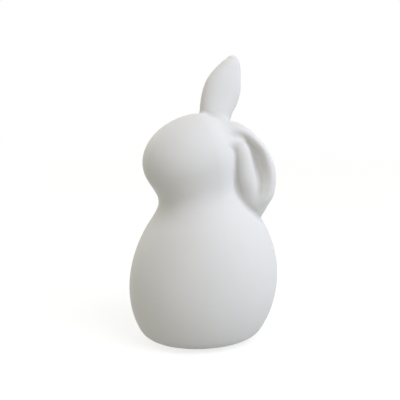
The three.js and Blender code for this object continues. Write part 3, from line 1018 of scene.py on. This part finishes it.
def felt_material():
    """Short grey wool felt"""
    if "wool_felt" in bpy.data.materials:
        return bpy.data.materials["wool_felt"]
    finish = bpy.context.scene.rabbit_finish
    material, nodes = new_material("wool_felt")
    tufts = nodes.noise(finish.felt_fibre, detail=4, roughness=0.7, distortion=1.2)
    patches = nodes.noise(FELT_PATCH_SIZE, detail=2)
    colour = nodes.mix(nodes.range(tufts, 0.3, 0.72), opaque(finish.felt), shaded(finish.felt, 1.45))
    colour = nodes.mix(nodes.range(patches, 0.35, 0.65, 0, 0.3), colour, shaded(finish.felt, 0.7))
    shader = nodes.add("ShaderNodeBsdfPrincipled", {}, {
        "Base Color": colour, "Roughness": 0.88 + 0.1 * tufts, "Normal": nodes.bump(tufts, TUFT_DEPTH),
        "Specular IOR Level": 0.15, "Sheen Weight": 0.35, "Sheen Roughness": 0.5})
    nodes.add("ShaderNodeOutputMaterial", {}, {"Surface": shader})
    return material


def felt_pad(node, seed):
    """A punched felt disc: pressed flat below, with a soft, slightly uneven edge"""
    low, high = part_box(node)
    radius = (high.x - low.x) / 2
    height = high.z - low.z
    centre = (low + high) / 2
    random = np.random.default_rng(seed)
    uneven = np.abs(random.normal(0, 1, (len(PAD_PROFILE), PAD_POINTS))) * PAD_UNEVENNESS
    points = [(0, 0, 0)]
    for (share, rise), ring_uneven in zip(PAD_PROFILE, uneven):
        for j in range(PAD_POINTS):
            turn = 2 * math.pi * j / PAD_POINTS
            out = radius * share - (ring_uneven[j] if share > PAD_EDGE else 0)
            points.append((out * math.cos(turn), out * math.sin(turn), height * rise))
    points.append((0, 0, height))
    faces = []
    last_ring = 1 + (len(PAD_PROFILE) - 1) * PAD_POINTS
    for j in range(PAD_POINTS):
        after = (j + 1) % PAD_POINTS
        faces.append((0, 1 + after, 1 + j))
        for ring in range(1, last_ring, PAD_POINTS):
            above = ring + PAD_POINTS
            faces.append((ring + j, ring + after, above + after, above + j))
        faces.append((last_ring + j, last_ring + after, len(points) - 1))
    points = np.array(points) + (centre.x, centre.y, low.z)
    piece = mesh_object(node.replace("foot", "felt"), points, faces)
    piece.data.polygons.foreach_set("use_smooth", np.ones(len(faces), bool))
    piece.data.materials.append(felt_material())
    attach(piece, "root")
    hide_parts(node)


def floor_material(stage):
    """A pale floor that shows white where no shadow falls on it"""
    material, nodes = new_material("pale_floor")
    seen = nodes.seen()
    matt = nodes.add("ShaderNodeBsdfDiffuse", {}, {"Color": opaque(stage.floor_tone)})
    shadowed = nodes.add("ShaderNodeBsdfDiffuse", {}, {"Color": opaque([stage.shadow_depth] * 3)})
    glow = nodes.add("ShaderNodeEmission", {}, {"Color": opaque(WHITE), "Strength": stage.floor_glow})
    white = nodes.add("ShaderNodeEmission", {}, {"Color": opaque(WHITE), "Strength": 1.0})
    close = nodes.add("ShaderNodeAddShader", {}, {0: shadowed, 1: glow})
    away = nodes.add("ShaderNodeVectorMath", {"operation": "LENGTH"}, {0: nodes.place()}, "Value")
    distant = nodes.range(away, stage.floor_near, stage.floor_far)
    shown = nodes.add("ShaderNodeMixShader", {}, {0: distant, 1: close, 2: white})
    surface = nodes.add("ShaderNodeMixShader", {}, {0: seen, 1: matt, 2: shown})
    nodes.add("ShaderNodeOutputMaterial", {}, {"Surface": surface})
    return material


def room(stage):
    """Even room light, white where the camera sees it"""
    world = bpy.data.worlds.new("room")
    bpy.context.scene.world = world
    world.use_nodes = True
    nodes = Nodes(world.node_tree)
    light = nodes.add("ShaderNodeBackground", {}, {
        "Color": opaque(stage.room_colour), "Strength": stage.room_light})
    white = nodes.add("ShaderNodeBackground", {}, {"Color": opaque(WHITE), "Strength": 1.0})
    surface = nodes.add("ShaderNodeMixShader", {}, {0: nodes.seen(), 1: light, 2: white})
    nodes.add("ShaderNodeOutputWorld", {}, {"Surface": surface})


def aimed(made, place, target):
    """Puts a lamp or the camera in its place, looking at a target"""
    made.location = place
    made.rotation_mode = "QUATERNION"
    made.rotation_quaternion = (target - place).to_track_quat("-Z", "Y")
    bpy.context.scene.collection.objects.link(made)


class RABBIT_OT_castings(Operator):
    """Cast the hollow body and the head, parted round the neck"""

    bl_idname = "rabbit.castings"
    bl_label = "Body and head"

    def execute(self, context):
        finished_casting("torso_casting", "torso_shell")
        finished_casting("head_casting", "head_shell")
        return {"FINISHED"}


class RABBIT_OT_ears(Operator):
    """Press the ear that stands up and the grooved ear that hangs down the nape"""

    bl_idname = "rabbit.ears"
    bl_label = "Ears"

    def execute(self, context):
        finished_casting("standing_ear", "upright_ear")
        finished_casting("hanging_ear", "drooping_ear")
        return {"FINISHED"}


class RABBIT_OT_pads(Operator):
    """Punch the felt pads and stick them under the foot ring"""

    bl_idname = "rabbit.pads"
    bl_label = "Felt pads"

    def execute(self, context):
        for seed, node in enumerate(PADS):
            felt_pad(node, seed)
        return {"FINISHED"}


class RABBIT_OT_stage(Operator):
    """Set the floor, the soft lamps, the room light and the camera"""

    bl_idname = "rabbit.stage"
    bl_label = "Stage"

    def execute(self, context):
        stage = context.scene.rabbit_stage
        corners = [(FLOOR_REACH * x, FLOOR_REACH * y, 0) for x, y in ((-1, -1), (1, -1), (1, 1), (-1, 1))]
        floor = mesh_object("floor", corners, [(0, 1, 2, 3)])
        floor.data.materials.append(floor_material(stage))
        room(stage)
        right = Vector((math.cos(stage.azimuth), math.sin(stage.azimuth), 0))
        near = Vector((math.sin(stage.azimuth), -math.cos(stage.azimuth), 0))
        aim = Vector((0, castings()["shift"].y, stage.aim_height)) - right * stage.aim_aside
        back = near * math.cos(stage.elevation) + Vector((0, 0, math.sin(stage.elevation)))
        camera = bpy.data.objects.new("camera", bpy.data.cameras.new("camera"))
        camera.data.lens = stage.lens
        aimed(camera, aim + back * stage.distance, aim)
        context.scene.camera = camera
        target = Vector((0, 0, stage.lamp_target))
        for name, aside, rise, power, tint in LAMPS:
            lamp = bpy.data.objects.new(name, bpy.data.lights.new(name, "AREA"))
            lamp.data.size = stage.lamp_size
            lamp.data.energy = power
            lamp.data.color = tint
            turn = math.radians(aside)
            level = near * math.cos(turn) + right * math.sin(turn)
            towards = level * math.cos(math.radians(rise)) + Vector((0, 0, math.sin(math.radians(rise))))
            aimed(lamp, target + towards * stage.lamp_distance, target)
        context.scene.view_settings.view_transform = "Standard"
        return {"FINISHED"}


class RABBIT_PT_panel(Panel):
    """The figurine's steps and sizes"""

    bl_label = "Rabbit figurine"
    bl_space_type = "VIEW_3D"
    bl_region_type = "UI"
    bl_category = "Rabbit"

    def draw(self, context):
        for operator in OPERATORS:
            self.layout.operator(operator.bl_idname)
        for name in SETTINGS:
            group = getattr(context.scene, name)
            box = self.layout.box()
            for key in group.bl_rna.properties.keys():
                if key not in {"rna_type", "name"}:
                    box.prop(group, key)


OPERATORS = (RABBIT_OT_castings, RABBIT_OT_ears, RABBIT_OT_pads, RABBIT_OT_stage)
SETTINGS = {
    "rabbit_body": BodySizes,
    "rabbit_ears": EarSizes,
    "rabbit_finish": Finish,
    "rabbit_stage": StageSettings,
}


def register():
    """Adds the settings, the operators and the panel"""
    for group in SETTINGS.values():
        bpy.utils.register_class(group)
    for name, group in SETTINGS.items():
        setattr(bpy.types.Scene, name, PointerProperty(type=group))
    for kind in (*OPERATORS, RABBIT_PT_panel):
        bpy.utils.register_class(kind)


def unregister():
    """Takes away what register added"""
    for kind in (RABBIT_PT_panel, *reversed(OPERATORS)):
        bpy.utils.unregister_class(kind)
    for name, group in SETTINGS.items():
        delattr(bpy.types.Scene, name)
        bpy.utils.unregister_class(group)


def main():
    """Makes the figurine and its stage"""
    register()
    bpy.ops.rabbit.castings()
    bpy.ops.rabbit.ears()
    bpy.ops.rabbit.pads()
    bpy.ops.rabbit.stage()


if __name__ == "__main__":
    main()
